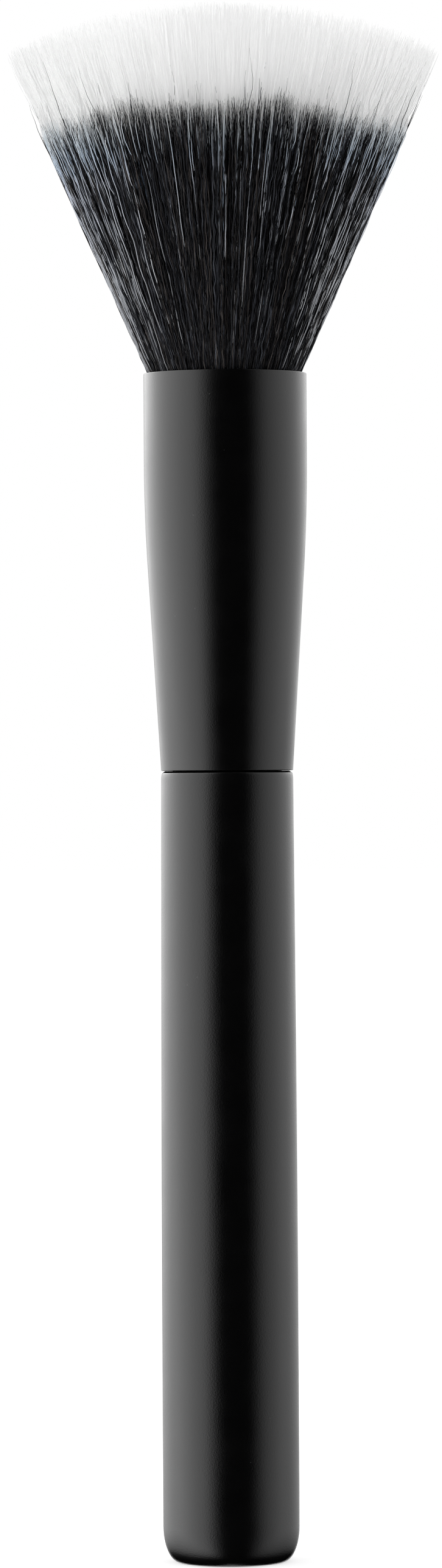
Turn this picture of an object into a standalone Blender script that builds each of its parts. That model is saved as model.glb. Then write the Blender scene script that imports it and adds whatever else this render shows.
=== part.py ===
"""Stippling makeup brush: a lacquered handle, a tapered ferrule and a fanned tuft of two fibres.

Short black fibres fill the tuft, and longer white ones run among them and stand above them.
The brush stands on its tail: +Z runs along its axis towards the tuft, and the origin is the
centre of the flat tail face. All sizes are in metres.
"""

import math
import random

import bmesh
import bpy
from mathutils import Vector

for old in list(bpy.data.objects):
    bpy.data.objects.remove(old)
brush = bpy.data.collections.new("makeup_brush")
bpy.context.scene.collection.children.link(brush)

# Handle: the flat tail, its rounded edge, the straight grip and the taper up to the shoulder
handle_length = 0.0836
tail_radius = 0.00723
tail_round_width = 0.0017
tail_round_height = 0.0038
grip_straight_length = 0.0168
shoulder_round_width = 0.00013
shoulder_round_height = 0.0008

# Seam: the handle's shoulder and the ferrule's lower rim have one radius, with a fine groove between
seam_radius = 0.0070
seam_gap = 0.0002

# Tenon: the turned end that the ferrule is glued onto, with shallow rings that key the glue
tenon_length = 0.0185
tenon_chamfer = 0.0006
glue_ring_depth = 0.00025
glue_ring_width = 0.0012
glue_ring_height_shares = (0.25, 0.50, 0.75)

# Ferrule: a thin aluminium tube, straight at the mouth and drawn in towards the handle
ferrule_length = 0.0421
ferrule_mouth_radius = 0.00865
ferrule_straight_length = 0.0148
ferrule_bend_reach = 0.0058
ferrule_wall = 0.0004
ferrule_rim_round = 0.0001

# Fits inside the ferrule
fit_gap = 0.0002
glue_wall = 0.0004
glue_end_gap = 0.0005

# Binding thread: tied round the roots before the resin is poured
thread_diameter = 0.0005
thread_spacing = 0.00045
thread_turns = 4

# Root plug: the set resin that holds the fibres' roots, with a waist for the thread
plug_gap = 0.0006
plug_flange = 0.0014
waist_margin = 0.00155

# Fibre roots: each layer of fibres stands on its own thin slice of the resin
slice_gap = 0.0002
slice_thickness = 0.0018

# Tuft, measured from the ferrule's mouth
tuft_reach = 0.0393
tuft_edge_radius = 0.0229
dome_drop = 0.0053
crown_height = 0.0102
crown_root_depth = 0.0030
black_tip_length = 0.0030
white_tip_length = 0.0016
tip_spread = 0.0010

# Layers from the axis outwards, as shares of the bundle's radius: at the roots, and once fanned out
root_edge_shares = (0.06, 0.25, 0.36, 0.50, 0.61, 0.74, 0.83, 0.92, 1.0)
fan_edge_shares = (0.04, 0.33, 0.38, 0.60, 0.65, 0.81, 0.86, 0.95, 1.0)
layer_names = (
    "black_fibres_core",
    "white_fibres_core",
    "black_fibres_inner",
    "white_fibres_inner",
    "black_fibres_middle",
    "white_fibres_middle",
    "black_fibres_outer",
    "white_fibres_outer",
)
row_counts = (2, 1, 1, 1, 1, 1, 1, 1)
strand_counts = (9, 18, 32, 32, 46, 46, 60, 60)

# Where the white tips stand in the crown: the strands of a white layer take these in turn
crown_ring_shares = {
    "white_fibres_core": (0.18, 0.36),
    "white_fibres_inner": (0.60, 0.60),
    "white_fibres_middle": (0.81, 0.81),
    "white_fibres_outer": (0.975, 0.975),
}

# How much of its own place a strand fills, across and in depth, and how far it strays in it
black_width_share = 0.84
strand_depth_share = 0.80
white_width_share = 0.22
crown_width_share = 0.80
crown_depth_share = 0.055
stray_share = 0.07
row_stagger_share = 0.25

# Fineness of the round forms, and of the smooth shading's creases
round_steps = 48
grip_steps = 5
tail_steps = 6
bend_steps = 6
rim_steps = 2
loop_points = 24
crease_angle = math.radians(35)
rim_angle = math.radians(60)
weld_distance = 0.00002
seed = 11

# Heights that follow from the sizes above
ferrule_base_z = handle_length + seam_gap
mouth_z = ferrule_base_z + ferrule_length
bend_z = mouth_z - ferrule_straight_length
tenon_top_z = handle_length + tenon_length
thread_pitch = thread_diameter + thread_spacing
waist_length = thread_pitch * thread_turns + thread_diameter + 2 * waist_margin
plug_base_z = tenon_top_z + plug_gap
waist_base_z = plug_base_z + plug_flange
waist_top_z = waist_base_z + waist_length
plug_top_z = waist_top_z + plug_flange
slice_base_z = plug_top_z + fit_gap
slice_top_z = slice_base_z + slice_thickness
tuft_edge_z = mouth_z + tuft_reach - dome_drop


def ferrule_radius(z):
    """Outer radius of the ferrule: a straight taper, a soft bend and a straight mouth."""
    slope = (ferrule_mouth_radius - seam_radius) / (bend_z - ferrule_base_z)
    if z <= bend_z - ferrule_bend_reach:
        return seam_radius + slope * (z - ferrule_base_z)
    if z >= bend_z + ferrule_bend_reach:
        return ferrule_mouth_radius
    left = bend_z + ferrule_bend_reach - z
    return ferrule_mouth_radius - slope * left * left / (4 * ferrule_bend_reach)


def bore_radius(z):
    """Inner radius of the ferrule at height z."""
    return ferrule_radius(z) - ferrule_wall


def fitted_radius(z):
    """Radius of what fills the ferrule's bore at height z."""
    return bore_radius(z) - fit_gap


# Radii that follow from the ferrule's bore
tenon_radius = min(fitted_radius(ferrule_base_z), fitted_radius(tenon_top_z)) - glue_wall - fit_gap
coil_radius = min(fitted_radius(waist_base_z), fitted_radius(waist_top_z)) - thread_diameter / 2
waist_radius = coil_radius - thread_diameter / 2 - fit_gap
slice_radius = min(fitted_radius(slice_base_z), fitted_radius(slice_top_z))
bundle_radius = fitted_radius(mouth_z)


def edge_radius(z):
    """Radius of the tuft's straight edge at height z, from the mouth outwards."""
    fanned = (z - mouth_z) / (tuft_edge_z - mouth_z)
    return bundle_radius + (tuft_edge_radius - bundle_radius) * fanned


def white_top(share):
    """Height of the shallow dome of white tips, by share of the tuft's radius."""
    return mouth_z + tuft_reach - dome_drop * share * share


def black_top(share):
    """Height of the black tips, which follow the same dome lower down."""
    return white_top(share) - crown_height


def finish(name, colour, roughness, metallic):
    """One material for one piece."""
    material = bpy.data.materials.new(name + "_finish")
    material.use_nodes = True
    shader = material.node_tree.nodes["Principled BSDF"]
    shader.inputs["Base Color"].default_value = (*colour, 1.0)
    shader.inputs["Roughness"].default_value = roughness
    shader.inputs["Metallic"].default_value = metallic
    material.diffuse_color = (*colour, 1.0)
    return material


def add_object(name, data, material):
    """Puts a piece into the brush's collection with its own material."""
    piece = bpy.data.objects.new(name, data)
    brush.objects.link(piece)
    data.materials.append(material)
    return piece


def turned(name, outline, closed, material):
    """A piece turned on the brush's axis: its outline runs down the outer side."""
    mesh = bpy.data.meshes.new(name)
    count = len(outline)
    edges = [(i, i + 1) for i in range(count - 1)]
    if closed:
        edges.append((count - 1, 0))
    mesh.from_pydata([(radius, 0, z) for radius, z in outline], edges, [])
    piece = add_object(name, mesh, material)
    screw = piece.modifiers.new("turning", "SCREW")
    screw.axis = "Z"
    screw.angle = math.tau
    screw.steps = round_steps
    screw.render_steps = round_steps
    screw.use_merge_vertices = True
    screw.merge_threshold = weld_distance
    return piece


def shade_round(piece):
    """Keeps the turned result as the piece's own mesh, smooth with crisp rims."""
    graph = bpy.context.evaluated_depsgraph_get()
    solid = bpy.data.meshes.new_from_object(piece.evaluated_get(graph))
    profile = piece.data
    piece.modifiers.clear()
    piece.data = solid
    bpy.data.meshes.remove(profile)
    solid.name = piece.name
    solid.shade_smooth()
    solid.set_sharp_from_angle(angle=crease_angle)
    return piece


def quarter(steps):
    """Angles of a quarter turn, both ends included."""
    return [math.pi / 2 * i / steps for i in range(steps + 1)]


def tenon_outline():
    """The tenon's outer side, from its chamfered end down to the shoulder."""
    outline = [(0, tenon_top_z)]
    outline.append((tenon_radius - tenon_chamfer, tenon_top_z))
    outline.append((tenon_radius, tenon_top_z - tenon_chamfer))
    half = glue_ring_width / 2
    for share in reversed(glue_ring_height_shares):
        z = handle_length + tenon_length * share
        outline.append((tenon_radius, z + half))
        outline.append((tenon_radius - glue_ring_depth, z + half / 2))
        outline.append((tenon_radius - glue_ring_depth, z - half / 2))
        outline.append((tenon_radius, z - half))
    outline.append((tenon_radius, handle_length))
    return outline


def make_handle():
    """Turned handle: tenon, shoulder, gently swelling grip and rounded tail."""
    outline = tenon_outline()
    outline.append((seam_radius - shoulder_round_width, handle_length))
    grip_base_z = tail_round_height + grip_straight_length
    grip_top_z = handle_length - shoulder_round_height
    for angle in reversed(quarter(grip_steps)):
        swell = (tail_radius - seam_radius) * math.cos(angle)
        z = grip_base_z + (grip_top_z - grip_base_z) * angle / (math.pi / 2)
        outline.append((seam_radius + swell, z))
    for angle in quarter(tail_steps):
        across = tail_radius - tail_round_width * (1 - math.cos(angle))
        outline.append((across, tail_round_height * (1 - math.sin(angle))))
    outline.append((0, 0))
    lacquer = finish("handle", (0.012, 0.012, 0.013), 0.42, 0.0)
    shade_round(turned("handle", outline, False, lacquer))


def make_ferrule():
    """Thin tapered tube: one outer surface given its wall inwards, with eased rims."""
    heights = [mouth_z]
    for i in range(bend_steps + 1):
        heights.append(bend_z + ferrule_bend_reach * (1 - 2 * i / bend_steps))
    heights.append(ferrule_base_z)
    outline = [(ferrule_radius(z), z) for z in heights]
    coating = finish("ferrule", (0.011, 0.011, 0.012), 0.38, 0.0)
    piece = turned("ferrule", outline, False, coating)
    shell = piece.modifiers.new("wall", "SOLIDIFY")
    shell.thickness = ferrule_wall
    shell.offset = -1
    shell.use_even_offset = True
    ease = piece.modifiers.new("eased_rims", "BEVEL")
    ease.width = ferrule_rim_round
    ease.segments = rim_steps
    ease.limit_method = "ANGLE"
    ease.angle_limit = rim_angle
    shade_round(piece)


def make_handle_glue():
    """Sleeve of glue in the wedge between the tenon and the ferrule."""
    low = ferrule_base_z + glue_end_gap
    high = tenon_top_z - tenon_chamfer - glue_end_gap
    inner = tenon_radius + fit_gap
    outline = [(fitted_radius(high), high), (fitted_radius(low), low), (inner, low), (inner, high)]
    glue = finish("handle_glue", (0.70, 0.63, 0.44), 0.35, 0.0)
    shade_round(turned("handle_glue", outline, True, glue))


def make_root_plug():
    """Set resin round the roots, shaped by the ferrule's bore, with a waist for the thread."""
    outline = [
        (0, plug_top_z),
        (fitted_radius(plug_top_z), plug_top_z),
        (fitted_radius(waist_top_z), waist_top_z),
        (waist_radius, waist_top_z),
        (waist_radius, waist_base_z),
        (fitted_radius(waist_base_z), waist_base_z),
        (fitted_radius(plug_base_z), plug_base_z),
        (0, plug_base_z),
    ]
    resin = finish("root_plug", (0.52, 0.38, 0.16), 0.25, 0.0)
    shade_round(turned("root_plug", outline, False, resin))


def thread_path():
    """Points along the thread: a helix whose two ends run straight for one diameter."""
    base_z = waist_base_z + waist_margin + thread_diameter / 2
    points = []
    for i in range(thread_turns * loop_points + 1):
        turn = i / loop_points
        angle = math.tau * turn
        across = Vector((math.cos(angle), math.sin(angle), 0)) * coil_radius
        points.append(across + Vector((0, 0, base_z + thread_pitch * turn)))
    # Each end leaves along the coil's own tangent, one diameter long and level
    start = points[0] - Vector((0, thread_diameter, 0))
    end = points[-1] + Vector((0, thread_diameter, 0))
    return [start] + points + [end]


def least_gap(points, diameter):
    """Least clear distance between stretches of a coil that lie half a turn or more apart."""
    nearest = min(
        (points[i] - points[j]).length
        for i in range(len(points))
        for j in range(i + loop_points // 2, len(points))
    )
    return nearest - diameter


def make_binding_thread():
    """The thread wound round the roots, as one unbroken tube."""
    points = thread_path()
    curve = bpy.data.curves.new("binding_thread", "CURVE")
    curve.dimensions = "3D"
    curve.bevel_depth = thread_diameter / 2
    curve.bevel_resolution = 1
    curve.use_fill_caps = True
    spline = curve.splines.new("POLY")
    spline.points.add(len(points) - 1)
    for slot, point in zip(spline.points, points):
        slot.co = (*point, 1)
    gap = least_gap(points, thread_diameter)
    print(f"binding thread: {thread_turns} turns, least gap to itself {gap * 1000:.3f} mm")
    cotton = finish("binding_thread", (0.74, 0.70, 0.60), 0.85, 0.0)
    add_object("binding_thread", curve, cotton)


def slice_mesh(edges, count):
    """A slice of resin with its top divided into rows of cells, one cell for each strand."""
    bm = bmesh.new()
    corners = [(edges[0], slice_base_z)]
    corners += [(radius, slice_top_z) for radius in edges]
    corners.append((edges[-1], slice_base_z))
    verts = [bm.verts.new((radius, 0, z)) for radius, z in corners]
    rim = [bm.edges.new(pair) for pair in zip(verts, verts[1:])]
    rim.append(bm.edges.new((verts[-1], verts[0])))
    ring = verts + rim
    bmesh.ops.spin(bm, geom=ring, axis=(0, 0, 1), steps=count, angle=math.tau, use_merge=True)
    return bm


def fill_middle(bm, radius):
    """Turns the core's ring into a disc: its inner wall goes and both ends are closed."""
    reach = radius + weld_distance
    inner = [face for face in bm.faces if all(vert.co.xy.length < reach for vert in face.verts)]
    bmesh.ops.delete(bm, geom=inner, context="FACES_ONLY")
    open_edges = [edge for edge in bm.edges if edge.is_boundary]
    bmesh.ops.holes_fill(bm, edges=open_edges, sides=0)


def strand_feet(bm, row_inner, row_outer):
    """Splits each cell of one row in two, and gives the halves that strands stand on."""
    low = row_inner - weld_distance
    high = row_outer + weld_distance
    cells = [
        face
        for face in bm.faces
        if len(face.verts) == 4
        and all(vert.co.z > slice_top_z - weld_distance for vert in face.verts)
        and all(low < vert.co.xy.length < high for vert in face.verts)
    ]
    middle = (row_inner + row_outer) / 2
    halves = bmesh.ops.triangulate(bm, faces=cells)["faces"]
    feet = [face for face in halves if sum(vert.co.xy.length < middle for vert in face.verts) == 2]
    return sorted(feet, key=foot_angle)


def foot_angle(face):
    """Direction of a strand's foot from the axis, midway between its two inner corners."""
    inner = sorted(face.verts, key=lambda vert: vert.co.xy.length)[:2]
    middle = inner[0].co + inner[1].co
    return math.atan2(middle.y, middle.x)


def polar(angle, radius, z):
    """A point given by its direction and distance from the axis."""
    return Vector((radius * math.cos(angle), radius * math.sin(angle), z))


def section(angle, width, share, depth, z):
    """A strand's three corners at height z: two behind, and one pointing outwards."""
    radius = edge_radius(z)
    inner = (share - depth / 2) * radius
    outer = (share + depth / 2) * radius
    return (
        polar(angle - width / 2, inner, z),
        polar(angle + width / 2, inner, z),
        polar(angle, outer, z),
    )


def black_strand(angle, pitch, share, depth, lower):
    """Sections and tip of a black strand: straight out from the mouth, ending under the crown."""
    tip_z = black_top(share) - lower
    width = pitch * black_width_share
    heights = (mouth_z, tip_z - black_tip_length)
    sections = [section(angle, width, share, depth, z) for z in heights]
    return sections, polar(angle, edge_radius(tip_z) * share, tip_z)


def white_strand(angle, pitch, share, depth, lower, crown_share):
    """Sections and tip of a white strand: thin among the black ones, fuller in the crown."""
    tip_z = white_top(crown_share) - lower
    thin = pitch * white_width_share
    full = pitch * crown_width_share
    heights = (mouth_z, black_top(share) - crown_root_depth)
    sections = [section(angle, thin, share, depth, z) for z in heights]
    sections.append(section(angle, full, crown_share, crown_depth_share, tip_z - white_tip_length))
    return sections, polar(angle, edge_radius(tip_z) * crown_share, tip_z)


def grow_strand(bm, foot, angle, sections, tip):
    """Extrudes one strand from its foot through its sections, and draws it to a point."""
    face = foot
    for corners in sections:
        face = bmesh.ops.extrude_discrete_faces(bm, faces=[face])["faces"][0]
        verts = sorted(face.verts, key=lambda vert: vert.co.xy.length)
        behind = verts[:2]
        behind.sort(key=lambda vert: math.sin(math.atan2(vert.co.y, vert.co.x) - angle))
        for vert, corner in zip(behind + verts[2:], corners):
            vert.co = corner
    bmesh.ops.poke(bm, faces=[face])["verts"][0].co = tip


def make_fibre_layer(index, chance):
    """One layer of the tuft: a slice of resin with its rows of strands."""
    name = layer_names[index]
    white = name in crown_ring_shares
    count = strand_counts[index]
    rows = row_counts[index]
    pitch = math.tau / count

    low, high = (share * slice_radius for share in root_edge_shares[index : index + 2])
    if index > 0:
        low += slice_gap / 2
    if index < len(layer_names) - 1:
        high -= slice_gap / 2
    edges = [low + (high - low) * i / rows for i in range(rows + 1)]
    bm = slice_mesh(edges, count)
    if index == 0:
        fill_middle(bm, edges[0])

    fan_low, fan_high = fan_edge_shares[index : index + 2]
    fan_step = (fan_high - fan_low) / rows
    depth = fan_step * strand_depth_share
    for row in range(rows):
        share = fan_low + fan_step * (row + 0.5)
        stagger = pitch * row_stagger_share * (2 * row - rows + 1)
        for number, foot in enumerate(strand_feet(bm, edges[row], edges[row + 1])):
            angle = foot_angle(foot) + stagger + pitch * stray_share * chance.uniform(-1, 1)
            lower = tip_spread * chance.random()
            if white:
                crown_share = crown_ring_shares[name][number % 2]
                sections, tip = white_strand(angle, pitch, share, depth, lower, crown_share)
            else:
                sections, tip = black_strand(angle, pitch, share, depth, lower)
            grow_strand(bm, foot, angle, sections, tip)

    bmesh.ops.recalc_face_normals(bm, faces=bm.faces)
    mesh = bpy.data.meshes.new(name)
    bm.to_mesh(mesh)
    bm.free()
    if white:
        fibre = finish(name, (0.84, 0.85, 0.87), 0.50, 0.0)
    else:
        fibre = finish(name, (0.018, 0.017, 0.017), 0.45, 0.0)
    add_object(name, mesh, fibre)
    return count * rows


def make_tuft():
    """All layers of fibres, from the core outwards."""
    chance = random.Random(seed)
    strands = sum(make_fibre_layer(index, chance) for index in range(len(layer_names)))
    print(f"tuft: {strands} strands in {len(layer_names)} layers")


make_handle()
make_ferrule()
make_handle_glue()
make_root_plug()
make_binding_thread()
make_tuft()
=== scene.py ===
# %% [markdown]
# # A stippling makeup brush
#
# This lesson dresses the finished construction of a makeup brush. The real brush is a turned
# wooden handle under matte black lacquer, a thin black aluminium ferrule, and a fanned tuft of
# two fibres: short crimped black ones, and longer smooth white ones that stand above them.
# The construction already has every size right, but its tuft is a few hundred thick strands and
# its round pieces are faceted. Here each piece that shows is made as fine as the real one.

# %% Load the construction
import math

import bmesh
import bpy
import numpy as np
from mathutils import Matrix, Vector


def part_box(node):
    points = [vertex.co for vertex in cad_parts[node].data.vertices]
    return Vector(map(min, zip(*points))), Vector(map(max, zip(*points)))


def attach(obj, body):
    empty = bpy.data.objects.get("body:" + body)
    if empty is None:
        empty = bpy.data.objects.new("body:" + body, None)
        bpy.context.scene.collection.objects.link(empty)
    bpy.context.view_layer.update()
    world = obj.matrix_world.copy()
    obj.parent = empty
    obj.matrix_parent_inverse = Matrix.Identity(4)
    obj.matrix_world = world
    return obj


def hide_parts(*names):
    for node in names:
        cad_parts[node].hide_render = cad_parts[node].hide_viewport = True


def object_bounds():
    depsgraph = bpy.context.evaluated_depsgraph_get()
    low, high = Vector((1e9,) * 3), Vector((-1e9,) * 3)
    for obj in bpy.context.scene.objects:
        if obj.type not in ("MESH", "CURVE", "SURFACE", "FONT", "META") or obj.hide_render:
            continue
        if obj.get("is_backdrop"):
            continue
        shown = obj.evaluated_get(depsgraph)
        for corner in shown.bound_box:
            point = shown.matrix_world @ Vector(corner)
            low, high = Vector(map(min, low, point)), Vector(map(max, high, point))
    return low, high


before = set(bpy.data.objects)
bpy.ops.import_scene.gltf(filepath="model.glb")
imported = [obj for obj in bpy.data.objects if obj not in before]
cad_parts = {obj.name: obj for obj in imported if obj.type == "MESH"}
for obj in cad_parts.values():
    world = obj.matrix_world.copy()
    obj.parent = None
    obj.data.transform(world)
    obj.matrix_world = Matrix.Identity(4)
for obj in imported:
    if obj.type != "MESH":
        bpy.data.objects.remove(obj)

mm = 0.001
construction_box = [list(corner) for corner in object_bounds()]
overall = [(high - low) / mm for low, high in zip(*construction_box)]
print("construction, mm:", [round(size, 1) for size in overall])

# %% [markdown]
# The new pieces have to meet the construction, so the heights that they share are read from its
# boxes: the ferrule's lower rim and mouth, the top of the handle's tenon, and the bottom of the
# resin that the fibres stand in.

# %% Heights read from the construction
ferrule_low, ferrule_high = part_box("ferrule")
handle_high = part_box("handle")[1]
ferrule_base = ferrule_low.z
mouth_height = ferrule_high.z
mouth_radius = ferrule_high.x
tenon_top = handle_high.z
tail_radius = handle_high.x
resin_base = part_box("black_fibres_core")[0].z
print(f"ferrule from {ferrule_base / mm:.1f} to {mouth_height / mm:.1f} mm")

# %% [markdown]
# ## The camera
#
# The photograph looks straight at the brush from level with its middle, so the ferrule's mouth
# arches upwards and the tail downwards. A long lens from about three quarters of a metre gives
# that small perspective. The picture is narrow and tall, so the lens is worked out from its
# height: at the brush, the view is as high as the photograph at this many millimetres to a
# pixel. The brush leans a hair to the left in the photograph, and a small roll of the camera
# does the same while the brush stays upright. The picture is shown with the plain Standard view,
# so that a colour comes out as it is written.

# %% The camera
picture_height_px = 2576
pixel_size = 0.06453 * mm
camera_distance = 745 * mm
camera_height = 82.4 * mm
camera_aside = -0.66 * mm
camera_roll = math.radians(0.33)

view_height = picture_height_px * pixel_size
lens = bpy.data.cameras.new("camera")
lens.sensor_fit = "VERTICAL"
lens.sensor_height = 24
lens.lens = lens.sensor_height * camera_distance / view_height
lens.clip_start = 10 * mm
camera = bpy.data.objects.new("camera", lens)
camera.location = (camera_aside, -camera_distance, camera_height)
camera.rotation_euler = (math.pi / 2, camera_roll, 0)
bpy.context.scene.collection.objects.link(camera)
bpy.context.scene.camera = camera
bpy.context.scene.view_settings.view_transform = "Standard"
print(f"lens {lens.lens:.0f} mm, view {view_height / mm:.0f} mm high")

# %% [markdown]
# ## The light
#
# Photographers light a thing like this for two reasons at once. The pale fibres need soft light
# from all round, and the black lacquer needs something to mirror. It is easier to give each its
# own: soft panels and a white sky light the matte fibres, and a curved wall, further on, is there
# only to be mirrored. Two panels stand at the brush's sides, a little behind it, so that the edges
# of the crown glow and its middle stays softer. A panel's power follows from its area, so that its
# brightness is given as a plain number, where 1 is white.

# %% Soft panels
panel_bearing = 100
panel_rise = 5
panel_distance = 0.6
panel_size = (0.6, 0.7)


def bearing_vector(bearing, rise):
    """The way from the brush, in degrees from the camera round to the left, and upwards."""
    turn, tilt = math.radians(bearing), math.radians(rise)
    level = math.cos(tilt)
    return Vector((-math.sin(turn) * level, -math.cos(turn) * level, math.sin(tilt)))


def soft_panel(name, bearing, brightness):
    """A lamp with a rectangular face of even brightness, turned to the middle of the brush."""
    lamp = bpy.data.lights.new(name, "AREA")
    lamp.shape = "RECTANGLE"
    lamp.size, lamp.size_y = panel_size
    lamp.energy = brightness * math.pi * lamp.size * lamp.size_y
    panel = bpy.data.objects.new(name, lamp)
    aim = bearing_vector(bearing, panel_rise)
    panel.location = Vector((0, 0, camera_height)) + aim * panel_distance
    panel.rotation_euler = aim.to_track_quat("Z", "Y").to_euler()
    panel.visible_camera = False
    panel.visible_glossy = False
    bpy.context.scene.collection.objects.link(panel)
    print(f"{name}: {lamp.energy:.1f} W")


soft_panel("left_panel", panel_bearing, 1.36)
soft_panel("right_panel", -panel_bearing, 0.76)

# %% [markdown]
# Every finish below is a small tree of nodes. These helpers place one node each, so that a
# finish reads as a sentence: take this noise, spread it over this range, colour it with this
# ramp. Nearly all of a noise lies between three and seven tenths, so that is the range to spread.

# %% Helpers for finishes
noise_range = (0.3, 0.7)


def new_material(name):
    """A material with its tree and its shader."""
    material = bpy.data.materials.new(name)
    material.use_nodes = True
    tree = material.node_tree
    return material, tree, tree.nodes["Principled BSDF"]


def noise(tree, place, size, detail):
    """A noise whose lumps are about as wide as this size."""
    node = tree.nodes.new("ShaderNodeTexNoise")
    node.inputs["Scale"].default_value = 1 / size
    node.inputs["Detail"].default_value = detail
    tree.links.new(place, node.inputs["Vector"])
    return node.outputs["Fac"]


def spread(tree, value, source, target):
    """Stretches one range of a value over another."""
    node = tree.nodes.new("ShaderNodeMapRange")
    node.inputs["From Min"].default_value, node.inputs["From Max"].default_value = source
    node.inputs["To Min"].default_value, node.inputs["To Max"].default_value = target
    tree.links.new(value, node.inputs["Value"])
    return node.outputs["Result"]


def ramp(tree, value, stops):
    """A colour ramp through (position, colour) stops."""
    node = tree.nodes.new("ShaderNodeValToRGB")
    scale = node.color_ramp.elements
    while len(scale) < len(stops):
        scale.new(0.5)
    for stop, (position, colour) in zip(scale, stops):
        stop.position = position
        stop.color = (*colour, 1)
    tree.links.new(value, node.inputs["Fac"])
    return node.outputs["Color"]


def arithmetic(tree, operation, first, second):
    """One sum of two values, each of them a socket or a number."""
    node = tree.nodes.new("ShaderNodeMath")
    node.operation = operation
    for value, socket in zip((first, second), node.inputs):
        if isinstance(value, (int, float)):
            socket.default_value = value
        else:
            tree.links.new(value, socket)
    return node.outputs[0]


# %% [markdown]
# The black stripe down the middle of the handle is the dark side of the room, where the camera
# stands, and the pale bands beside it are bright walls, the left one brighter. Flat cards would
# give the stripe hard edges, and in the photograph it fades out softly to both sides. So the
# mirrored wall is curved: its floor and its height are two edges, spun round the brush. Its
# brightness is listed by bearing, in degrees from the camera round to the left. Only glossy rays
# see it.

# %% The mirrored wall
wall_radius = 0.9
wall_foot = -1.4
wall_top = 2.4
wall_steps = 110
wall_glow = (
    (-165, 2.6), (-139, 2.0), (-118, 1.45), (-98, 1.3), (-88, 1.2), (-70, 0.92), (-62, 0.75),
    (-54, 0.52), (-47, 0.28), (-40, 0.08), (-32, 0.0),
    (14, 0.0), (22, 0.15), (30, 0.62), (37, 1.15), (44, 1.62), (52, 1.88), (60, 2.05),
    (68, 2.3), (76, 2.55), (94, 2.9), (117, 3.25), (132, 3.7), (154, 3.8), (165, 2.9),
)
wall_right, wall_left = wall_glow[0][0], wall_glow[-1][0]

bm = bmesh.new()
start = bearing_vector(wall_right, 0) * wall_radius
verts = [bm.verts.new((0, 0, wall_foot))]
verts += [bm.verts.new((start.x, start.y, height)) for height in (wall_foot, wall_top)]
edges = [bm.edges.new(pair) for pair in zip(verts, verts[1:])]
whole_turn = math.radians(wall_right - wall_left)
bmesh.ops.spin(bm, geom=verts + edges, axis=(0, 0, 1), angle=whole_turn, steps=wall_steps)
bmesh.ops.remove_doubles(bm, verts=bm.verts, dist=1 * mm)
wall_mesh = bpy.data.meshes.new("mirrored_wall")
bm.to_mesh(wall_mesh)
bm.free()
wall = bpy.data.objects.new("mirrored_wall", wall_mesh)
bpy.context.scene.collection.objects.link(wall)
wall.visible_camera = False
wall.visible_diffuse = False
wall.visible_transmission = False
wall.visible_shadow = False
wall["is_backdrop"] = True
print("wall", len(wall_mesh.polygons), "faces")

# %% [markdown]
# The wall's glow is a ramp over the bearing, which is worked out from where a point of the wall is.
# It dies away downwards, and it starts to do so higher up behind the brush than beside the camera,
# so that the rounded tail turns dark from its edges inwards.

# %% The wall's glow
wall_fade = (-0.85, -0.15)
wall_slope = 0.7
brightest = max(glow for bearing, glow in wall_glow)

wall_material, tree, shader = new_material("mirrored_wall")
shader.inputs["Base Color"].default_value = (0, 0, 0, 1)
shader.inputs["Roughness"].default_value = 1
shader.inputs["Specular IOR Level"].default_value = 0
apart = tree.nodes.new("ShaderNodeSeparateXYZ")
tree.links.new(tree.nodes.new("ShaderNodeTexCoord").outputs["Object"], apart.inputs["Vector"])
aside = arithmetic(tree, "MULTIPLY", apart.outputs["X"], -1)
ahead = arithmetic(tree, "MULTIPLY", apart.outputs["Y"], -1)
turned = arithmetic(tree, "ARCTAN2", aside, ahead)
along = spread(tree, turned, (math.radians(wall_right), math.radians(wall_left)), (0, 1))
stops = []
for bearing, glow in wall_glow:
    level = glow / brightest
    stops.append(((bearing - wall_right) / (wall_left - wall_right), (level, level, level)))
tree.links.new(ramp(tree, along, stops), shader.inputs["Emission Color"])
sloping = arithmetic(tree, "MULTIPLY", ahead, wall_slope)
tilted = arithmetic(tree, "ADD", apart.outputs["Z"], sloping)
rising = spread(tree, tilted, wall_fade, (0, brightest))
tree.links.new(rising, shader.inputs["Emission Strength"])
wall_mesh.materials.append(wall_material)
print("the wall glows with up to", brightest)

# %% [markdown]
# The background is pure white. The camera, reflections and clear things see the sky at a
# strength of 1, and everything else is lit by a weaker sky, so that the white backdrop adds no
# light to the brush.

# %% The sky
sky_light = 0.53


def seen_directly(tree):
    """1 for rays from the camera, off gloss and through clear things, and 0 for soft light."""
    rays = tree.nodes.new("ShaderNodeLightPath").outputs
    gloss = arithmetic(tree, "MAXIMUM", rays["Is Camera Ray"], rays["Is Glossy Ray"])
    return arithmetic(tree, "MAXIMUM", gloss, rays["Is Transmission Ray"])


world = bpy.data.worlds.new("white_room")
bpy.context.scene.world = world
world.use_nodes = True
tree = world.node_tree
background = tree.nodes["Background"]
background.inputs["Color"].default_value = (1, 1, 1, 1)
strength = spread(tree, seen_directly(tree), (0, 1), (sky_light, 1))
tree.links.new(strength, background.inputs["Strength"])
print("sky lights with", sky_light)

# %% [markdown]
# The floor is a white table that meets the white sky. It is an ordinary matte white, so it keeps
# the brush's soft shadow, with just enough glow for the camera that the bare table is white.
# Reflections look past it, to the mirrored wall, which goes on below its level, and it shades
# nothing from the sky below: the brush in the photograph was lit with no table near it, and its
# handle is as dark at the tail as higher up.

# %% The table
table_size = 12
table_white = 0.82
table_glow = 0.65

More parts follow.
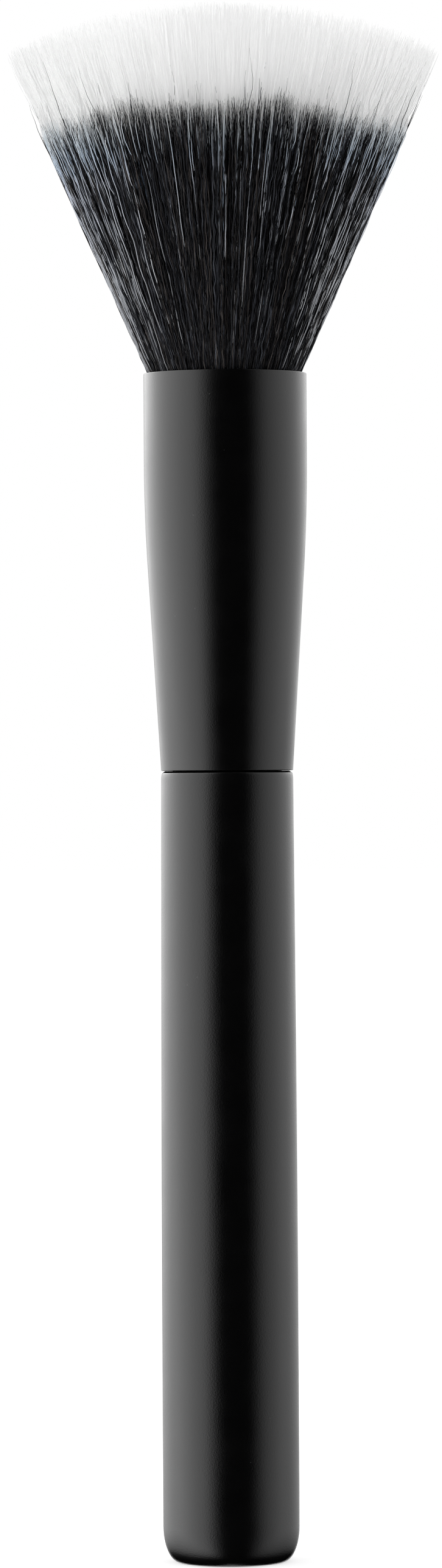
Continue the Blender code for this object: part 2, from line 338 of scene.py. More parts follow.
bm = bmesh.new()
bmesh.ops.create_grid(bm, x_segments=1, y_segments=1, size=table_size / 2)
table_mesh = bpy.data.meshes.new("table")
bm.to_mesh(table_mesh)
bm.free()
table = bpy.data.objects.new("table", table_mesh)
bpy.context.scene.collection.objects.link(table)
table.visible_glossy = False
table.visible_shadow = False
table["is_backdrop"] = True
table_material, tree, shader = new_material("table")
shader.inputs["Base Color"].default_value = (table_white, table_white, table_white, 1)
shader.inputs["Roughness"].default_value = 1
shader.inputs["Specular IOR Level"].default_value = 0
shader.inputs["Emission Color"].default_value = (1, 1, 1, 1)
glow = arithmetic(tree, "MULTIPLY", seen_directly(tree), table_glow)
tree.links.new(glow, shader.inputs["Emission Strength"])
table_mesh.materials.append(table_material)
print("table", table_size, "m across")

# %% [markdown]
# ## Finishes
#
# Handle and ferrule wear the same kind of coating: a deep black lacquer with a fine dry grain.
# The grain could be painted on, but it is a relief, so it is a fine noise that tilts the
# surface. A coarser noise varies the gloss a little, as sprayed lacquer does, and a few pale
# specks are the dust that settled while it dried. All of it reads the object's own coordinates,
# in metres, so a size of a tenth of a millimetre is a noise scale of one over that.

# %% Sprayed lacquer
cloud_size = 3 * mm
cloud_depth = 0.03
dust_spacing = 3 * mm
dust_size = 0.09 * mm
dust_colour = (0.10, 0.10, 0.10)


def lacquer(name, colour, roughness, grain_size, grain_depth):
    """A sprayed black coating with a fine grain and a few specks of dust."""
    material, tree, shader = new_material(name)
    place = tree.nodes.new("ShaderNodeTexCoord").outputs["Object"]

    grain = tree.nodes.new("ShaderNodeBump")
    grain.inputs["Distance"].default_value = grain_depth
    tree.links.new(noise(tree, place, grain_size, 2), grain.inputs["Height"])
    tree.links.new(grain.outputs["Normal"], shader.inputs["Normal"])

    gloss = (roughness - cloud_depth, roughness + cloud_depth)
    clouds = spread(tree, noise(tree, place, cloud_size, 3), noise_range, gloss)
    tree.links.new(clouds, shader.inputs["Roughness"])

    dust = tree.nodes.new("ShaderNodeTexVoronoi")
    dust.inputs["Scale"].default_value = 1 / dust_spacing
    tree.links.new(place, dust.inputs["Vector"])
    rim = dust_size / dust_spacing
    specks = ramp(tree, dust.outputs["Distance"], [(0, dust_colour), (rim, colour)])
    tree.links.new(specks, shader.inputs["Base Color"])
    return material


handle_lacquer = lacquer("handle_lacquer", (0.0022, 0.0022, 0.0024), 0.22, 0.16 * mm, 0.013 * mm)
ferrule_coating = lacquer("ferrule_coating", (0.0020, 0.0020, 0.0022), 0.22, 0.14 * mm, 0.010 * mm)
print("two lacquers")

# %% [markdown]
# ## Turned pieces
#
# Handle and ferrule are round, so each is drawn as a half outline and spun. The construction's
# pieces have 48 sides, which is plenty for fitting, but a long highlight shows facets. Spinning
# the same outline in finer steps keeps the shape and makes the light run smoothly. The outline
# goes round the piece's section, with real arcs at its eased edges.

# %% A helper that spins an outline
turning_steps = 160
weld = 0.001 * mm
sharp_from = math.radians(40)


def quarter_arc(centre, across, along, start, steps):
    """Points of a quarter ellipse, from one of its ends, start in quarter turns."""
    points = []
    for i in range(steps + 1):
        angle = math.pi / 2 * (start + i / steps)
        points.append((centre[0] + across * math.cos(angle), centre[1] + along * math.sin(angle)))
    return points


def add_piece(name, bm, material, slot, *nodes):
    """A finished piece: its mesh in place, riding on the brush, standing for these nodes."""
    mesh = bpy.data.meshes.new(name)
    bm.to_mesh(mesh)
    bm.free()
    mesh.materials.append(material)
    piece = bpy.data.objects.new(name, mesh)
    bpy.context.scene.collection.objects.link(piece)
    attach(piece, "root")
    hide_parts(*nodes)
    return piece


def turned_piece(name, outline, closed, material, slot, *nodes):
    """Spins an outline of (radius, height) points round the brush's axis."""
    bm = bmesh.new()
    verts = [bm.verts.new((radius, 0, height)) for radius, height in outline]
    edges = [bm.edges.new(pair) for pair in zip(verts, verts[1:])]
    if closed:
        edges.append(bm.edges.new((verts[-1], verts[0])))
    bmesh.ops.spin(
        bm, geom=verts + edges, axis=(0, 0, 1), angle=math.tau, steps=turning_steps, use_merge=True
    )
    bmesh.ops.remove_doubles(bm, verts=bm.verts, dist=weld)
    bmesh.ops.recalc_face_normals(bm, faces=bm.faces)
    piece = add_piece(name, bm, material, slot, *nodes)
    piece.data.shade_smooth()
    piece.data.set_sharp_from_angle(angle=sharp_from)
    print(name, len(piece.data.polygons), "faces")
    return piece


# %% [markdown]
# The handle swells very slightly from the groove to the tail, and its tail is rounded to a flat
# that it stands on. Its shoulder leaves a shallow groove under the ferrule, whose slanting bottom
# mirrors the ferrule's rim and so shows as a thin dark seam. Above that it has a tenon with three
# rings that key the glue. The swell could be a straight taper, but the photograph shows it
# settling gently, so it follows a quarter of a cosine.

# %% The handle
groove_width = 0.2 * mm
groove_depths = (0.40 * mm, 0.15 * mm)
groove_gap = 0.02 * mm
seam_radius = 7.0 * mm
shoulder_round = (0.13 * mm, 0.8 * mm)
shoulder_steps = 6
tail_round = (1.7 * mm, 3.8 * mm)
tail_steps = 12
grip_straight = 16.8 * mm
swell_steps = 10
tenon_radius = 5.79 * mm
tenon_chamfer = 0.6 * mm
glue_ring = (0.25 * mm, 1.2 * mm)
glue_ring_shares = (0.75, 0.50, 0.25)

shoulder = ferrule_base - groove_width
handle_outline = [(0, tenon_top), (tenon_radius - tenon_chamfer, tenon_top)]
handle_outline.append((tenon_radius, tenon_top - tenon_chamfer))
for share in glue_ring_shares:
    height = shoulder + (tenon_top - shoulder) * share
    deep = tenon_radius - glue_ring[0]
    handle_outline.append((tenon_radius, height + glue_ring[1] / 2))
    handle_outline.append((deep, height + glue_ring[1] / 4))
    handle_outline.append((deep, height - glue_ring[1] / 4))
    handle_outline.append((tenon_radius, height - glue_ring[1] / 2))
handle_outline.append((tenon_radius, ferrule_base - groove_gap))
handle_outline.append((seam_radius - groove_depths[0], ferrule_base - groove_gap))
handle_outline.append((seam_radius - groove_depths[1], shoulder))
round_middle = (seam_radius - shoulder_round[0], shoulder - shoulder_round[1])
handle_outline += reversed(quarter_arc(round_middle, *shoulder_round, 0, shoulder_steps))
grip_base = tail_round[1] + grip_straight
for i in range(1, swell_steps + 1):
    angle = math.pi / 2 * (1 - i / swell_steps)
    swell = (tail_radius - seam_radius) * math.cos(angle)
    height = grip_base + (round_middle[1] - grip_base) * (1 - i / swell_steps)
    handle_outline.append((seam_radius + swell, height))
tail_middle = (tail_radius - tail_round[0], tail_round[1])
handle_outline += reversed(quarter_arc(tail_middle, *tail_round, 3, tail_steps))
handle_outline.append((0, 0))
turned_piece("lacquered_handle", handle_outline, False, handle_lacquer, "handle_lacquer", "handle")

# %% [markdown]
# The ferrule is a thin tube, straight at its mouth and drawn in towards the handle, with a soft
# bend between. Its rims are eased by a tenth of a millimetre, and that tiny arc is what catches
# the light as a fine line round the mouth and along the groove. The wall could come from a
# Solidify modifier, but a closed outline with both its sides gives the eased rims at once.

# %% The ferrule
ferrule_wall = 0.4 * mm
rim_round = 0.1 * mm
rim_steps = 3
mouth_straight = 14.8 * mm
bend_reach = 5.8 * mm
bend_steps = 10

bend = mouth_height - mouth_straight
taper = (mouth_radius - seam_radius) / (bend - ferrule_base)


def ferrule_radius(height):
    """Outer radius of the ferrule: a taper, a soft bend and a straight mouth."""
    if height <= bend - bend_reach:
        return seam_radius + taper * (height - ferrule_base)
    left = max(bend + bend_reach - height, 0)
    return mouth_radius - taper * left**2 / (4 * bend_reach)


def eased(radius, height, start):
    """A rim's rounded edge, a quarter arc that starts at this quarter turn."""
    across = -rim_round if start in (0, 3) else rim_round
    along = -rim_round if start in (0, 1) else rim_round
    return quarter_arc((radius + across, height + along), rim_round, rim_round, start, rim_steps)


outer_heights = [bend + bend_reach * (1 - 2 * i / bend_steps) for i in range(bend_steps + 1)]
ferrule_outline = list(reversed(eased(mouth_radius, mouth_height, 0)))
ferrule_outline += [(ferrule_radius(height), height) for height in outer_heights]
ferrule_outline += reversed(eased(seam_radius, ferrule_base, 3))
ferrule_outline += reversed(eased(seam_radius - ferrule_wall, ferrule_base, 2))
inner_heights = reversed(outer_heights)
ferrule_outline += [(ferrule_radius(height) - ferrule_wall, height) for height in inner_heights]
ferrule_outline += reversed(eased(mouth_radius - ferrule_wall, mouth_height, 1))
turned_piece("drawn_ferrule", ferrule_outline, True, ferrule_coating, "ferrule_coating", "ferrule")

# %% [markdown]
# ## The fibres
#
# A real tuft has tens of thousands of fibres, a tenth of a millimetre thick or less. They leave
# the ferrule packed tight and fan out in straight lines, so a fibre that starts near the rim ends
# near the edge. Here there are about twenty thousand, each a thin three-sided stem. All stems of a
# layer grow together: each begins as a small triangle, and one extrude call per level lengthens
# them all. Each new point remembers its fibre, its corner and its level, and is moved to its place
# at the end.
#
# Every fibre also gets a strip of its own on a map: across the map by its tone, and up the map
# along its length. A colour that reads this map can differ from fibre to fibre and from root
# to tip. Smooth shading makes a black stem gleam like a round one. A pale stem stays flat: with
# only three corners, the bent normals would throw away light at every bounce, and the crown, which
# is bright only because light bounces through it many times, would turn grey.

# %% A helper that grows a layer of fibres
marks_kept = ("fibre", "level", "corner")
corners_round = 3
map_edge = 0.02
strip_width = 0.004


def grow_fibres(name, places, tones, smooth, material, slot, *nodes):
    """Fibres from their corner places, an array of fibre by level by corner."""
    count, levels = places.shape[:2]
    bm = bmesh.new()
    marks = [bm.verts.layers.int.new(word) for word in marks_kept]
    tops = []
    for fibre in range(count):
        verts = [bm.verts.new((corner, fibre, 0)) for corner in range(corners_round)]
        for corner, vert in enumerate(verts):
            for mark, value in zip(marks, (fibre, 0, corner)):
                vert[mark] = value
        tops.append(bm.faces.new(verts))
    for level in range(1, levels):
        tops = bmesh.ops.extrude_discrete_faces(bm, faces=tops)["faces"]
        for face in tops:
            for vert in face.verts:
                vert[marks[1]] = level
    open_edges = [edge for edge in bm.edges if edge.is_boundary]
    bmesh.ops.holes_fill(bm, edges=open_edges, sides=corners_round)

    piece = add_piece(name, bm, material, slot, *nodes)
    mesh = piece.data
    marked = []
    for word in marks_kept:
        values = np.empty(len(mesh.vertices), np.int32)
        mesh.attributes[word].data.foreach_get("value", values)
        mesh.attributes.remove(mesh.attributes[word])
        marked.append(values)
    fibre, level, corner = marked
    mesh.vertices.foreach_set("co", places[fibre, level, corner].ravel())

    across = map_edge + (1 - 2 * map_edge) * tones[fibre] + strip_width * (corner - 1)
    upward = map_edge + (1 - 2 * map_edge) * level / (levels - 1)
    used = np.empty(len(mesh.loops), np.int32)
    mesh.loops.foreach_get("vertex_index", used)
    strips = mesh.uv_layers.new(name="OFBake")
    strips.uv.foreach_set("vector", np.stack([across, upward], 1)[used].ravel())
    if smooth:
        mesh.shade_smooth()
    mesh.update()
    print(f"{name}: {count} fibres, {count * (levels - 1) * corners_round * 2} triangles")
    return piece


# %% [markdown]
# The fan has a straight edge: a radius that grows evenly from the bundle in the mouth to the rim
# of the crown. A black fibre keeps its share of that radius all the way up, and a white one changes
# its share where it comes out from among the black ones. To that line come the small faults that
# make hair look like hair. Fibres drift apart, lean together in bunches and sway, and all of that
# starts from nothing at the mouth, where the ferrule holds them, and grows towards the tips. They
# are crimped too, the black ones most, and the crimp is as strong near the mouth as further up.

# %% Where each fibre runs
bundle_radius = 8.05 * mm
fan_top = mouth_height + 34 * mm
fan_radius = 22.9 * mm
resin_top = resin_base + 1.8 * mm
root_sink = 0.5 * mm
edge_slack = 0.03
sway_length = (7, 18)
bunch_spiral = 9
bunch_waves = ((23, 0.14), (41, 0.10), (67, 0.08))
chance = np.random.default_rng(11)
bunch_starts = chance.uniform(0, math.tau, (len(bunch_waves), 2))


def freedom(height):
    """How far up the fan a height is: 0 at the mouth, where the fibres are held."""
    return np.maximum(height - mouth_height, 0) / (fan_top - mouth_height)


def bunching(angle, share, part):
    """A smooth wave round the tuft, a third at most, that pulls neighbours together."""
    total = np.zeros_like(angle)
    for (waves, size), starts in zip(bunch_waves, bunch_starts):
        total += size * np.sin(waves * angle + starts[part] + bunch_spiral * share)
    return total


def fibre_lines(angle, share, tips, levels, drift, bunch, sway, crimp):
    """Middle lines of fibres: how far out, how far aside and how high, at each level."""
    count = len(angle)
    home = share[:, -1]
    climb = np.linspace(0, 1, levels - 1)
    heights = mouth_height + (tips - mouth_height)[:, None] * climb
    heights = np.hstack([np.full((count, 1), resin_top - root_sink), heights])
    freed = freedom(heights)

    offsets = []
    for part in (0, 1):
        lean = chance.normal(0, drift, count) + bunch * bunching(angle, home, part)
        length = chance.uniform(*sway_length, count)[:, None] * mm
        start = chance.uniform(0, math.tau, count)[:, None]
        wave = np.sin((heights - mouth_height) / length * math.tau + start) - np.sin(start)
        kinks = chance.normal(0, crimp, heights.shape) * (freed > 0)
        offsets.append((lean[:, None] + sway * wave) * freed + kinks)

    edge = bundle_radius + (fan_radius - bundle_radius) * freed
    slack = np.maximum(share, 1) + edge_slack * (chance.random((count, 1)) - 0.5)
    outward = np.minimum(share * edge + offsets[0], edge * slack)
    return outward, offsets[1], heights


print(f"fibres start {(mouth_height - resin_top + root_sink) / mm:.1f} mm under the mouth")

# %% [markdown]
# A stem keeps its girth for most of its length and draws in to a fine point at the tip, like the
# tapered fibres of a soft brush. Its three corners are set round its middle line, and a twist says
# which way they look.

# %% How thick each fibre is
girth_spread = (0.75, 1.2)
tip_share = 0.12
tip_fineness = 0.8


def fibre_places(angle, lines, girth, taper_start, twist):
    """Corner places of fibres: three round each level of a line, thinner towards the tip."""
    outward, aside, heights = lines
    count, levels = heights.shape
    reach = heights[:, -1:] - mouth_height
    climb = np.clip((heights - mouth_height) / reach, 0, 1)
    thin = np.clip((1 - climb) / (1 - taper_start), tip_share, 1) ** tip_fineness
    width = girth * chance.uniform(*girth_spread, (count, 1)) * thin
    cosine, sine = np.cos(angle)[:, None], np.sin(angle)[:, None]
    places = np.empty((count, levels, corners_round, 3))
    for corner in range(corners_round):
        turn = twist[:, None] + math.tau * corner / corners_round
        far = outward + width * np.cos(turn)
        wide = aside + width * np.sin(turn)
        places[:, :, corner, 0] = far * cosine - wide * sine
        places[:, :, corner, 1] = far * sine + wide * cosine
        places[:, :, corner, 2] = heights
    return places


def scatter(count, inner, outer):
    """Angles and shares of fibres that fill a ring of the fan evenly."""
    angle = chance.uniform(0, math.tau, count)
    share = np.sqrt(chance.uniform(inner**2, outer**2, count))
    return angle, share[:, None]


print(f"points of {tip_share**tip_fineness:.2f} of a stem's girth")

# %% [markdown]
# A fibre's colour reads its own map: across it the tone changes from fibre to fibre, and up it
# from root to tip. The black fibres are mostly deep black, with some blue-grey ones and a few
# brown-grey ones that catch the light. A crimped fibre gleams in dashes, where a bend turns it to
# the light, and those glints are painted: the black ones take their brightness from a noise that
# is drawn out along the stem, and not from the height. The white ones are painted darker and bluer
# where they run among the black, as painted shade, and are neutral in the crown. They are clear
# nylon, and light passes through them, which is why a crown of white fibres glows against a white
# wall. So about a third of the white finish is a Translucent shader. A single fibre in front of
# black ones has nothing bright behind it: it shows by the light that it turns back, so the streaks
# have a finish of their own, less clear, and painted shade dims them towards the roots.

# %% Fibre finishes
crown_clearness = 0.35
streak_clearness = 0.2
# Lumps of the painted glints on the black fibres, across and up the map.
glint_grid = (60, 13, 1)


def fibre_material(name, tone_stops, length_stops, painted_glints, gloss, shine, clearness):
    """A fibre whose tone varies across its map and whose painted shade, or painted glint dashes,
    vary up it.
    """
    material, tree, shader = new_material(name)
    shader.inputs["Specular IOR Level"].default_value = shine
    strips = tree.nodes.new("ShaderNodeUVMap")
    strips.uv_map = "OFBake"
    apart = tree.nodes.new("ShaderNodeSeparateXYZ")
    tree.links.new(strips.outputs["UV"], apart.inputs["Vector"])
    tint = tree.nodes.new("ShaderNodeMixRGB")
    tint.blend_type = "MULTIPLY"
    tint.inputs["Fac"].default_value = 1
    tree.links.new(ramp(tree, apart.outputs["X"], tone_stops), tint.inputs["Color1"])
    along = apart.outputs["Y"]
    # Painted glints: a noise drawn out along the stem sets the brightness of the black ones.
    if painted_glints:
        stretch = tree.nodes.new("ShaderNodeVectorMath")
        stretch.operation = "MULTIPLY"
        stretch.inputs[1].default_value = glint_grid
        tree.links.new(strips.outputs["UV"], stretch.inputs[0])
        along = noise(tree, stretch.outputs["Vector"], 1, 1)
    tree.links.new(ramp(tree, along, length_stops), tint.inputs["Color2"])
    tree.links.new(tint.outputs["Color"], shader.inputs["Base Color"])
    tree.links.new(spread(tree, apart.outputs["X"], (0, 1), gloss), shader.inputs["Roughness"])
    if clearness:
        through = tree.nodes.new("ShaderNodeBsdfTranslucent")
        tree.links.new(tint.outputs["Color"], through.inputs["Color"])
        both = tree.nodes.new("ShaderNodeMixShader")
        both.inputs["Fac"].default_value = clearness
        tree.links.new(shader.outputs[0], both.inputs[1])
        tree.links.new(through.outputs[0], both.inputs[2])
        tree.links.new(both.outputs[0], tree.nodes["Material Output"].inputs["Surface"])
    return material


black_fibre = fibre_material(
    "black_fibre",
    [
        (0, (0.005, 0.004, 0.006)), (0.35, (0.013, 0.012, 0.015)),
        (0.50, (0.046, 0.048, 0.058)), (0.80, (0.104, 0.112, 0.136)),
        (0.84, (0.085, 0.074, 0.072)), (1, (0.160, 0.142, 0.136)),
    ],
    # Painted glints: the brightness of the dashes, from dim to full.
    [
        (0, (0.12, 0.12, 0.12)), (0.45, (0.24, 0.24, 0.24)),
        (0.54, (0.50, 0.50, 0.50)), (0.64, (1, 1, 1)),
    ],
    painted_glints=True,
    gloss=(0.45, 0.30),
    shine=0.15,
    clearness=0,
)
white_fibre = fibre_material(
    "white_fibre",
    [(0, (0.95, 0.95, 0.95)), (1, (0.995, 0.995, 0.995))],
    [
        # Painted shade: darker and bluer low down, where the fibres run among the black ones.
        (0, (0.66, 0.77, 0.92)), (0.62, (0.72, 0.83, 0.97)),
        (0.70, (0.87, 0.92, 0.98)), (0.76, (0.96, 0.96, 0.96)), (1, (0.97, 0.97, 0.97)),
    ],
    painted_glints=False,
    gloss=(0.35, 0.50),
    shine=0.4,
    clearness=crown_clearness,
)
white_streak = fibre_material(
    "white_streak",
    [(0, (0.92, 0.92, 0.92)), (1, (0.99, 0.99, 0.99))],
    # Painted shade: dimmer and bluer towards the roots.
    [
        (0, (0.52, 0.53, 0.56)), (0.35, (0.82, 0.84, 0.88)), (0.60, (0.84, 0.88, 0.96)),
        (0.66, (0.78, 0.88, 0.99)), (0.72, (0.90, 0.95, 0.99)), (0.78, (0.97, 0.97, 0.97)),
    ],
    painted_glints=False,
    gloss=(0.35, 0.50),
    shine=0.5,
    clearness=streak_clearness,
)
print("three fibre finishes")

# %% [markdown]
# The black fibres end level, eight millimetres under the crown's edge and more under its middle,
# and a little lower inside, where nothing shows. Their tips are ragged: they stand highest in two
# places, one on each side of the middle, bunches reach higher or lower together, each fibre differs
# a little, and a few are clearly too long.

# %% How high the black fibres reach
black_reach = 25.7 * mm
black_hollow = 2.0 * mm
black_ragged = 0.35
black_together = 2.6
long_black = 1.2
longest_black = 4
long_black_odds = 0.04
slow_bearing = math.radians(-95)
slow_wave = 0.8 * mm
tall_bunches = ((math.radians(-71), 1.1 * mm), (math.radians(-124), 0.9 * mm))
tall_sharpness = 40


def black_tips(angle, share):
    """Ragged heights of the black tips, by bunch and by fibre."""
    top = mouth_height + black_reach - black_hollow * (1 - share**2)
    top += slow_wave * np.cos(2 * (angle - slow_bearing))
    for bearing, height in tall_bunches:
        top += height * np.maximum(np.cos(angle - bearing), 0) ** tall_sharpness
    ragged = chance.normal(0, black_ragged, len(angle)) + black_together * bunching(angle, share, 1)
    long = np.minimum(chance.exponential(long_black, len(angle)), longest_black)
    long = long * (chance.random(len(angle)) < long_black_odds)
    return top + (ragged + long) * mm


print(f"black tips {black_reach / mm:.1f} mm above the mouth")

# %% [markdown]
# The outer layers show, so they have many levels, and each level is nudged aside, which is the
# crimp. The inner ones only have to close the tuft, so a few levels do. The outermost layer is
# parted in three, so that no piece has too many triangles.

# %% Black fibres
black_girth = 0.062 * mm
black_drift = 0.75 * mm
black_bunch = 1.0 * mm
black_sway = 0.16 * mm
black_taper_start = 0.82
black_layers = (
    ("core", 0.0, 0.38, 1100, 7, 0.0),
    ("inner", 0.38, 0.65, 2200, 7, 0.0),
    ("middle", 0.65, 0.88, 3000, 10, 0.02),
    ("outer", 0.88, 0.96, 1900, 18, 0.035),
    ("rim_front", 0.96, 1.0, 950, 34, 0.065),
    ("rim_right", 0.96, 1.0, 950, 34, 0.065),
    ("rim_left", 0.96, 1.0, 950, 34, 0.065),
)
rim_bearings = {"rim_front": -90, "rim_right": 30, "rim_left": 150}


def grow_black(word, node, angle, share, tips, levels, sway, crimp, girth):
    """One layer of black fibres."""
    faults = (black_drift, black_bunch, sway, crimp)
    lines = fibre_lines(angle, share, tips, levels, *faults)
    twist = chance.uniform(0, math.tau, len(angle))
    places = fibre_places(angle, lines, girth, black_taper_start, twist)
    tones = chance.random(len(angle))
    grow_fibres("black_hair_" + word, places, tones, True, black_fibre, "black_fibre", node)


for word, inner, outer, count, levels, crimp in black_layers:
    angle, share = scatter(count, inner, outer)
    if word in rim_bearings:
        angle = math.radians(rim_bearings[word]) + (angle - math.pi) / len(rim_bearings)
    tips = black_tips(angle, share[:, 0])
    node = "black_fibres_outer" if word.startswith("rim") else "black_fibres_" + word
    grow_black(word, node, angle, share, tips, levels, black_sway, crimp * mm, black_girth)

# %% [markdown]
# Last come a few strays on the outside, thinner and more bent, which were cut too long and stand up
# into the white crown.

# %% Strays
stray_count = 44
stray_levels = 34
stray_shares = (1.01, 1.02)
stray_reach = (1.5, 7.0)
stray_girth = 0.052 * mm
stray_sway, stray_crimp = 0.3 * mm, 0.05 * mm

angle, share = scatter(stray_count, *stray_shares)
tips = mouth_height + black_reach + chance.uniform(*stray_reach, stray_count) * mm
node = "black_fibres_outer"
grow_black("strays", node, angle, share, tips, stray_levels, stray_sway, stray_crimp, stray_girth)

# %% [markdown]
# The white fibres are fewer, smoother and longer. Among the black ones they are held in, and the
# black ones cover them. Above the black tips nothing holds them in, and they fill the fan out to
# its edge. They end in a crown whose top is a shallow dome, and thin out to fine points that fade
# into the light.

# %% How the white fibres run
white_reach = 39.2 * mm
white_drop = 5.2 * mm
dome_power = 1.9
white_feather = 0.5
short_white = 1.2
short_white_odds = 0.3
held_share = 0.955
let_go = (24 * mm, 30 * mm)


def white_tips(share):
    """Heights of the white tips, a little feathered below the dome."""
    dome = mouth_height + white_reach - white_drop * share**dome_power
    short = np.abs(chance.normal(0, white_feather, len(share)))
    shorter = chance.exponential(short_white, len(share))
    shorter = shorter * (chance.random(len(share)) < short_white_odds)
    return dome - (short + shorter) * mm


def white_shares(share, tips, levels):
    """Shares at each level: held in by the black fibres, then let go above them."""
    climb = np.linspace(0, 1, levels - 1)
    rise = (tips - mouth_height)[:, None] * climb
    rise = np.hstack([np.zeros((len(tips), 1)), rise])
    free = np.clip((rise - let_go[0]) / (let_go[1] - let_go[0]), 0, 1)
    return share * (held_share + (1 - held_share) * free)


print(f"the crown's top {white_reach / mm:.1f} mm above the mouth")

# %% [markdown]
# Nylon passes light on, so white fibres hardly shade each other. The Translucent shader passes it
# on only once, and a crown of thousands of fibres would come out grey and streaky. So the white
# pieces cast no shadow, and each stem turns one of its three faces outwards, so that neighbours
# look alike. Both bring the real crown's even glow.

# %% White fibres
white_girth = 0.072 * mm
white_drift = 0.35 * mm
white_bunch = 0.35 * mm
white_sway = 0.12 * mm
white_crimp = 0.012 * mm
white_taper_start = 0.86
face_out, corner_out = math.radians(60), 0
turn_spread = math.radians(15)
thinning = 0.06
thinned_places = 9
white_layers = (
    ("core", 0.0, 0.38, 1200, 12),
    ("inner", 0.38, 0.65, 2200, 12),
    ("middle", 0.65, 0.86, 2500, 13),
    ("outer", 0.86, 1.0, 2200, 14),
)


def grow_white(word, node, angle, shares, tips, levels, girth, turn, material):
    """One layer of white fibres, which turn a face or a corner outwards."""
    faults = (white_drift, white_bunch, white_sway, white_crimp)
    lines = fibre_lines(angle, shares, tips, levels, *faults)
    twist = chance.normal(turn, turn_spread, len(angle))
    places = fibre_places(angle, lines, girth, white_taper_start, twist)
    tones = chance.random(len(angle))
    piece = grow_fibres("white_hair_" + word, places, tones, False, material, "white_fibre", node)
    piece.visible_shadow = False


def thinned(angle):
    """Moves fibres aside, so that they stand thinnest where the black ones stand tallest."""
    return angle + thinning * np.sin(thinned_places * (angle - tall_bunches[0][0]))


for word, inner, outer, count, levels in white_layers:
    angle, share = scatter(count, inner, outer)
    if word == "outer":
        angle = thinned(angle)
    tips = white_tips(share[:, 0])
    shares = white_shares(share, tips, levels)
    node = "white_fibres_" + word
    grow_white(word, node, angle, shares, tips, levels, white_girth, face_out, white_fibre)

# %% [markdown]
# Some white fibres come to the surface among the black ones and show there as bright lines. Thin
# strips of white paint on the black would do from far away, but real streaks weave in and out of
# the tuft, so these are fibres too: some four hundred long ones, most of them at the two sides,
# where they come up soon after the mouth, and over three hundred short ones just under the black
# tips. A streak turns a corner outwards, so that its two sides catch the light of the panels, and it
# sinks back among its neighbours in the crown, where it would only darken them.

# %% White streaks
streak_girth = 0.046 * mm
streak_home = (0.99, 1.008)
streak_depth = (0.05, 0.10)
streak_weave = 0.008
weave_pace = (20, 50)
crown_depth = 0.06
crown_dive = (0.74, 0.84)
side_width = math.radians(20)
side_odds = (0.57, 0.43)
long_at_sides, long_anywhere = 290, 150
long_surfacing = (0.02, 0.25)
long_later = 0.5
long_dive, long_levels = 0.3, 40
short_count = 330
short_surfacing = (0.665, 0.04)
short_dive, short_levels = 0.08, 28


def grow_streaks(word, angle, surfacing, dive, levels):
    """White fibres that come to the surface this far up, weave, and sink back into the crown."""
    count = len(angle)
    home = chance.uniform(*streak_home, (count, 1))
    tips = white_tips(home[:, 0])
    climb = np.linspace(0, 1, levels)
    depth = chance.uniform(*streak_depth, (count, 1))
    depth = depth * np.clip((surfacing[:, None] - climb) / dive, 0, 1)
    pace = chance.uniform(*weave_pace, (count, 1))
    weave = np.sin(climb * pace + chance.uniform(0, math.tau, (count, 1)))
    sunk = crown_depth * np.clip((climb - crown_dive[0]) / (crown_dive[1] - crown_dive[0]), 0, 1)
    share = home - depth - sunk + streak_weave * weave
    node = "white_fibres_outer"
    grow_white(word, node, angle, share, tips, levels, streak_girth, corner_out, white_streak)


sides = chance.choice((0, math.pi), long_at_sides, p=side_odds)
sides = sides + chance.normal(0, side_width, long_at_sides)
angle = np.concatenate([sides, chance.uniform(0, math.tau, long_anywhere)])
surfacing = chance.uniform(*long_surfacing, len(angle))
surfacing += long_later * np.sin(angle) ** 2 * chance.random(len(angle))
grow_streaks("streaks_long", angle, surfacing, long_dive, long_levels)
angle = thinned(chance.uniform(0, math.tau, short_count))
surfacing = chance.normal(*short_surfacing, short_count)
grow_streaks("streaks_short", angle, surfacing, short_dive, short_levels)

# %% [markdown]
# ## What the ferrule hides
#
# Inside the ferrule the fibres stand in a disc of set resin. The construction gives each layer of
# fibres its own ring of that disc, so here one turned disc closes them to a whole, and the fibres
# start half a millimetre down in it. The resin plug under it, the thread that ties the roots and
# the glue round the tenon keep their construction meshes and only get their finish: a mottled
# colour, and a relief as coarse as the stuff really is.

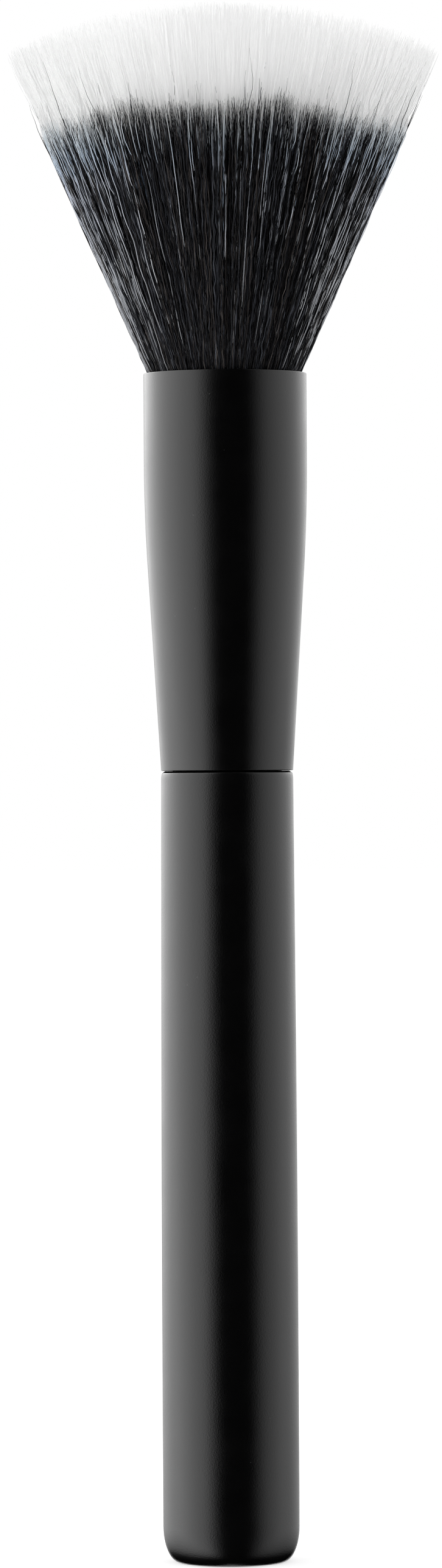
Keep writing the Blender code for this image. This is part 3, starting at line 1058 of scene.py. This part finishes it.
# %% Resin, thread and glue
def mottled(name, dark, light, lump_size, roughness, relief):
    """A finish that drifts between two tones, with a relief of the same lumps."""
    material, tree, shader = new_material(name)
    place = tree.nodes.new("ShaderNodeTexCoord").outputs["Object"]
    lumps = noise(tree, place, lump_size, 4)
    tones = ramp(tree, lumps, [(0.35, dark), (0.65, light)])
    tree.links.new(tones, shader.inputs["Base Color"])
    uneven = spread(tree, lumps, noise_range, (roughness, roughness * 1.5))
    tree.links.new(uneven, shader.inputs["Roughness"])
    bumps = tree.nodes.new("ShaderNodeBump")
    bumps.inputs["Distance"].default_value = relief
    tree.links.new(lumps, bumps.inputs["Height"])
    tree.links.new(bumps.outputs["Normal"], shader.inputs["Normal"])
    return material


amber = mottled("root_resin", (0.42, 0.29, 0.11), (0.60, 0.45, 0.20), 1.1 * mm, 0.20, 0.03 * mm)
cotton = mottled("cotton_thread", (0.62, 0.57, 0.47), (0.82, 0.79, 0.71), 0.12 * mm, 0.70, 0.04 * mm)
epoxy = mottled("handle_glue", (0.60, 0.53, 0.34), (0.76, 0.70, 0.52), 0.8 * mm, 0.25, 0.02 * mm)
for node, finish in (("root_plug", amber), ("binding_thread", cotton), ("handle_glue", epoxy)):
    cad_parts[node].data.materials[0] = finish

disc_edge = 0.15 * mm
disc_outline = [(0, resin_base), (bundle_radius - disc_edge, resin_base)]
disc_outline.append((bundle_radius, resin_base + disc_edge))
disc_outline.append((bundle_radius, resin_top - disc_edge))
disc_outline += [(bundle_radius - disc_edge, resin_top), (0, resin_top)]
layers = ("core", "inner", "middle", "outer")
nodes = [colour + "_fibres_" + layer for colour in ("black", "white") for layer in layers]
turned_piece("root_resin_disc", disc_outline, False, amber, "root_resin", *nodes)

# %% [markdown]
# Last, the dressed brush's box is printed, as the construction's was, so that the two can be
# compared.

# %% Print the dressed box
dressed_box = [list(corner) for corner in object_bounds()]
overall = [(high - low) / mm for low, high in zip(*dressed_box)]
print("dressed, mm:", [round(size, 1) for size in overall])
